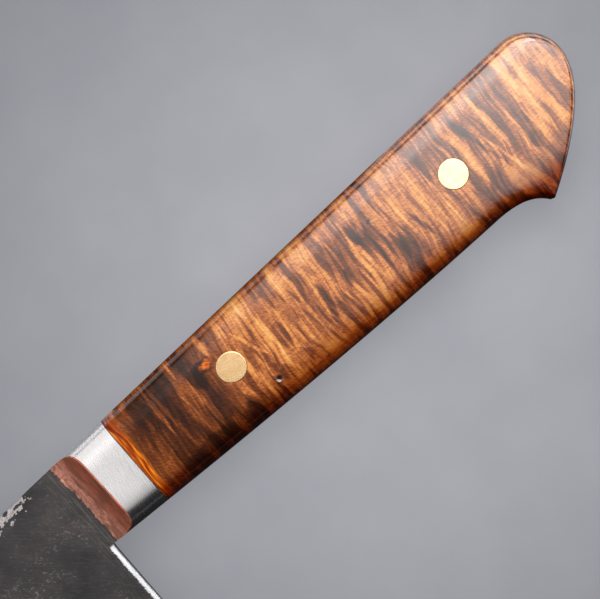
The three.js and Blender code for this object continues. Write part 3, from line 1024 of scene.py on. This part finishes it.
def brass():
    """Polished brass with fine scratches and a soft dull bloom."""
    look = Look("pin_brass")
    scratch = look.noise(look.turned(look.place, 25), (0.8, 14, 1))
    bloom = look.noise(look.place, (0.7, 0.7, 0.2), detail=3)
    colour = look.between(bloom, (0.8, 0.5, 0.24), (0.87, 0.58, 0.3))
    look.set(Base_Color=colour, Metallic=1.0, Roughness=look.line(scratch, 0.1, 0.21))
    look.bump(scratch, 0.002, 0.2)
    return look.material


def epoxy():
    """Dark glue line."""
    look = Look("epoxy")
    grain = look.noise(look.place, 3)
    colour = look.between(grain, (0.012, 0.007, 0.005), (0.04, 0.022, 0.014))
    look.set(Base_Color=colour, Roughness=look.line(grain, 0.2, 0.3))
    look.bump(grain, 0.02, 0.3)
    return look.material


class Forging(Look):
    """Forged steel, with the patterns that its colours and its relief share."""

    def __init__(self):
        super().__init__("forged_steel")
        self.below = self.attribute("below_spine")
        self.clouds = self.noise(self.place, 0.12, detail=4)
        self.grain = self.noise(self.place, 2.4, detail=4, roughness=0.7)
        self.scratch = self.noise(self.turned(self.place, -41), (0.35, 6, 1), detail=3)

    def scale(self):
        """Colour of the dark scale: cloudy, scratched and flecked, with upright streaks beside the handle."""
        shades = [(0.3, (0.036, 0.035, 0.036)), (0.55, (0.06, 0.055, 0.056)), (0.75, (0.09, 0.076, 0.07))]
        dark = self.ramp(self.clouds, shades)
        dark = self.mix(self.ease(self.scratch, 0.5, 0.75, 0, 0.3), dark, (0.135, 0.13, 0.13))
        upright = self.noise(self.place, (5, 0.25, 1))
        streaks = self.times(self.ease(self.x, -21, -15), self.ease(upright, 0.48, 0.68, 0, 0.5))
        dark = self.mix(streaks, dark, (0.15, 0.13, 0.115))
        chips = self.noise(self.turned(self.place, -41), (1.4, 2.1, 1), detail=4, roughness=0.65)
        flecks = self.times(self.ease(chips, 0.55, 0.75), self.ease(self.clouds, 0.42, 0.6, 0.1, 0.8))
        flecks = self.times(flecks, self.ease(self.below, 4, 16, 0.3, 1))
        flecks = self.times(flecks, self.ease(self.x, -13, -20, 0.3, 1))
        return self.mix(flecks, dark, (0.32, 0.285, 0.265))

    def worn(self):
        """Where the spine is rubbed bare, in tatters and less near the handle."""
        tatter = self.noise(self.place, (0.6, 0.8, 0.6), detail=4)
        reach = self.plus(self.ease(tatter, 0.36, 0.64, -0.8, 3), self.line(self.grain, 2, -1))
        reach = self.plus(reach, self.ease(self.x, -18, -25, -2.6, 0.2))
        return self.ease(self.math("SUBTRACT", reach, self.below), -0.3, 0.3)

    def polished(self):
        """Where the back of the heel is polished, up to a hatched edge."""
        strokes = self.noise(self.turned(self.place, -35), (0.7, 5, 1))
        at_back = self.plus(self.x, self.line(strokes, 0.9, -0.45))
        low = self.ease(self.y, -11.3, -11.9)
        return self.times(self.ease(at_back, HEEL_X - 1.2, HEEL_X - 0.95), low)


def forged_steel():
    """Dark forge scale, rubbed bare along the spine, ground bright at the bevel, polished behind the heel."""
    look = Forging()
    rubbed = look.ramp(look.grain, [(0.35, (0.28, 0.255, 0.25)), (0.6, (0.56, 0.52, 0.51))])
    colour = look.mix(look.worn(), look.scale(), rubbed)
    ground = look.ease(look.attribute("height_share"), BEVEL_SHARE + 0.005, BEVEL_SHARE - 0.005)
    lines = look.noise(look.place, (0.4, 9, 1), detail=3)
    bright = look.between(lines, (0.42, 0.42, 0.43), (0.6, 0.6, 0.61))
    colour = look.mix(ground, colour, bright)
    polished = look.polished()
    colour = look.mix(polished, colour, (0.8, 0.8, 0.82))
    rough = look.line(look.grain, 0.25, 0.42)
    rough = look.times(rough, look.ease(ground, 0, 1, 1, 0.65))
    rough = look.times(rough, look.ease(polished, 0, 1, 1, 0.85))
    look.set(Base_Color=colour, Metallic=0.85, Roughness=rough)
    look.bump(look.line(look.scratch, 0.5, look.grain), 0.05, 0.5)
    return look.material


def satin_steel():
    """Edge of the tang, ground flush with the scales."""
    look = Look("tang_steel")
    lines = look.noise(look.place, (0.4, 8, 8), detail=3)
    colour = look.between(lines, (0.5, 0.5, 0.5), (0.66, 0.66, 0.66))
    look.set(Base_Color=colour, Metallic=1.0, Roughness=look.line(lines, 0.2, 0.25))
    look.bump(lines, 0.01, 0.4)
    return look.material


# Ground and cards: half the ground's width, its height, the share of its paleness that is its own, the height
# of the cards, where along the knife the bright one rises, and where the ground is palest, the middle of a
# painted pool of light
HALF_GROUND = 3
GROUND_HEIGHT = -0.3 * MM
GROUND_GLOW = 0.68
CARD_HEIGHT = -0.1 * MM
CARD_RISE = (40, 110)
PAINTED_LIGHT_MIDDLE = (60, -8)


def flat_face(name, corners, height):
    """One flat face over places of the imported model."""
    mesh = bpy.data.meshes.new(name)
    mesh.from_pydata([(x, y, height) for x, y in corners], [], [tuple(range(len(corners)))])
    return placed(name, mesh)


def ground_grey():
    """Plain grey with a painted pool of light, darker further off; part of its paleness is its own, so the
    knife's shadow stays light.
    """
    look = Look("ground")
    fibres = look.noise(look.place, 0.05, detail=4)
    colour = look.between(fibres, (0.38, 0.385, 0.42), (0.415, 0.42, 0.455))
    # Painted light: the ground's colour and glow darken away from a pale middle, a pool of light and its
    # falloff
    from_painted_light = look.vector("LENGTH", look.vector("SUBTRACT", look.place, (*PAINTED_LIGHT_MIDDLE, -HALF_HANDLE)))
    colour = look.mix(look.ease(from_painted_light, 25, 130, 0, 0.6), colour, (0.13, 0.14, 0.16))
    rays = look.node("ShaderNodeLightPath").outputs
    mirrored = look.plus(rays["Is Glossy Ray"], rays["Is Transmission Ray"])
    seen = look.plus(rays["Is Camera Ray"], mirrored)
    look.set(Base_Color=look.mix(GROUND_GLOW, colour, (0, 0, 0)), Roughness=0.9, Specular_IOR_Level=0.0)
    look.set(Emission_Color=colour, Emission_Strength=look.times(seen, GROUND_GLOW))
    return look.material


def make_floor():
    """The ground, a wide square under the knife."""
    middle = to_row((*PHOTO_MIDDLE, 0))
    signs = ((-1, -1), (1, -1), (1, 1), (-1, 1))
    corners = [(middle.x + along * HALF_GROUND, middle.y + across * HALF_GROUND) for along, across in signs]
    floor = flat_face("ground", corners, GROUND_HEIGHT)
    floor.data.materials.append(ground_grey())


def card_paper(name, colour, glow):
    """Plain paper that glows more towards the butt."""
    look = Look(name)
    fibres = look.noise(look.place, 0.3)
    shade = look.between(fibres, colour, tuple(0.9 * value for value in colour))
    look.set(Base_Color=shade, Roughness=0.9, Specular_IOR_Level=0.0)
    look.set(Emission_Color=shade, Emission_Strength=look.ease(look.x, *CARD_RISE, 0, glow))
    return look.material


def make_card(name, corners, colour, glow):
    """A card on the ground that only shiny surfaces see, given by its corners along and across the knife."""
    card = flat_face(name, [to_row((x, y, 0)).xy for x, y in corners], CARD_HEIGHT)
    card.data.materials.append(card_paper(name, colour, glow))
    card.visible_camera = False
    card.visible_diffuse = False
    card.visible_transmission = False
    card.visible_shadow = False


def make_cards():
    """A dark card on the belly's side, and a bright one beyond the spine and round the butt."""
    dark = [(-150, -260), (100, -260), (100, -16), (70, 28), (2, 28), (2, 0), (-150, 0)]
    make_card("dark_card", dark, (0.015, 0.015, 0.015), 0)
    bright = [(-60, 32), (124, 40), (148, 4), (112, -44), (150, -90), (600, -90), (600, 600), (-60, 600)]
    make_card("bright_card", bright, (0.9, 0.9, 0.92), 2.4)


def graded(made, along, up):
    """Lets a panel's light rise smoothly between two shares of its length, and two of its height."""
    made.data.use_nodes = True
    nodes = Nodes(made.data.node_tree)
    x, y, _ = nodes.split(nodes.node("ShaderNodeNewGeometry").outputs["Parametric"])
    strength = nodes.times(nodes.ease(x, *along) if along else 1, nodes.ease(y, *up) if up else 1)
    nodes.link(strength, nodes.tree.nodes["Emission"].inputs["Strength"])


def panel(name, corner, along, up, brightness, rise_along=None, rise_up=None):
    """A soft panel of light in the knife's millimetres, shining away from the side that along x up faces."""
    along, up = Vector(along), Vector(up)
    middle = Vector(corner) + (along + up) / 2
    light = bpy.data.lights.new(name, "AREA")
    light.shape = "RECTANGLE"
    light.size = along.length * MM
    light.size_y = up.length * MM
    light.energy = brightness * math.pi * light.size * light.size_y
    made = placed(name, light)
    axes = Matrix((along.normalized(), up.normalized(), along.cross(up).normalized()))
    made.matrix_world = Matrix.Translation(to_row(middle)) @ axes.transposed().to_4x4()
    made.visible_camera = False
    if rise_along or rise_up:
        graded(made, rise_along, rise_up)
    return made


def make_lights():
    """Boxes over butt and blade, reflectors beyond spine and butt that only gloss sees, and an even fill."""
    panel("softbox", (20, -400, 480), (250, 0, 0), (0, 660, 0), 2.75, (0, 0.64), (0, 0.76))
    panel("upper_box", (-60, -45, 482), (330, 0, 0), (0, 305, 0), 5.9, (0, 0.76), (0, 0.39))
    panel("blade_box", (-480, -400, 480), (426, 0, 0), (0, 660, 0), 1.04, rise_up=(0, 0.5))
    panel("blade_upper_box", (-480, -30, 482), (426, 0, 0), (0, 290, 0), 0.2, rise_up=(0, 0.17))
    reflectors = [
        panel("reflector", (-60, 260, 480), (510, 0, 0), (0, 180, -440), 8.2, (0, 0.49), (1, 0.55)),
        panel("end_reflector", (270, 420, 480), (0, -510, 0), (180, 0, -440), 6, (0, 0.38), (1, 0.55)),
        panel("low_reflector", (-220, 260, 480), (670, 0, 0), (0, 180, -440), 0.95),
    ]
    for reflector in reflectors:
        reflector.visible_diffuse = False
    fill = panel("fill", (-600, -400, 900), (1200, 0, 0), (0, 1200, 0), 1.12)
    fill.visible_glossy = False


def light_only(lights, pieces):
    """Keeps the bright reflectors to some pieces, so that bare metal beside the gloss doesn't burn out."""
    lit = bpy.data.collections.new("lit_by_reflectors")
    for piece in pieces:
        lit.objects.link(piece)
    for name in lights:
        bpy.data.objects[name].light_linking.receiver_collection = lit


def make_world():
    world = bpy.data.worlds.new("studio")
    world.use_nodes = True
    background = world.node_tree.nodes["Background"]
    background.inputs["Color"].default_value = (0.5, 0.51, 0.54, 1)
    background.inputs["Strength"].default_value = 0.03
    bpy.context.scene.world = world


def make_camera():
    """Camera straight over the left side, turned as the photograph shows the knife."""
    data = bpy.data.cameras.new("camera")
    data.sensor_width = SENSOR
    data.lens = SENSOR * CAMERA_DISTANCE * PIXELS_PER_MM / PHOTO_WIDTH
    camera = placed("camera", data)
    camera.location = to_row((*PHOTO_MIDDLE, CAMERA_DISTANCE))
    camera.rotation_euler = (0, 0, PHOTO_TURN)
    bpy.context.scene.camera = camera


def build():
    wood, steel, braze, pin, glue = curly_wood(), bolster_steel(), copper(), brass(), epoxy()
    scales = []
    for side, mirrored in (("left", False), ("right", True)):
        scales.append(make_scale(f"scale_{side}", mirrored, wood))
        make_glue(f"glue_{side}", mirrored, glue)
        make_bolster(f"bolster_{side}", mirrored, steel)
        make_braze(f"braze_{side}", mirrored, braze)
    for name, x in zip(("pin_front", "pin_rear"), PIN_PLACES):
        make_pin(name, x, pin)
    make_blade("blade", forged_steel(), satin_steel())
    make_floor()
    make_cards()
    make_lights()
    light_only(("reflector", "end_reflector", "bright_card"), scales)
    make_world()
    make_camera()


build()
bpy.context.scene.view_settings.view_transform = "Standard"
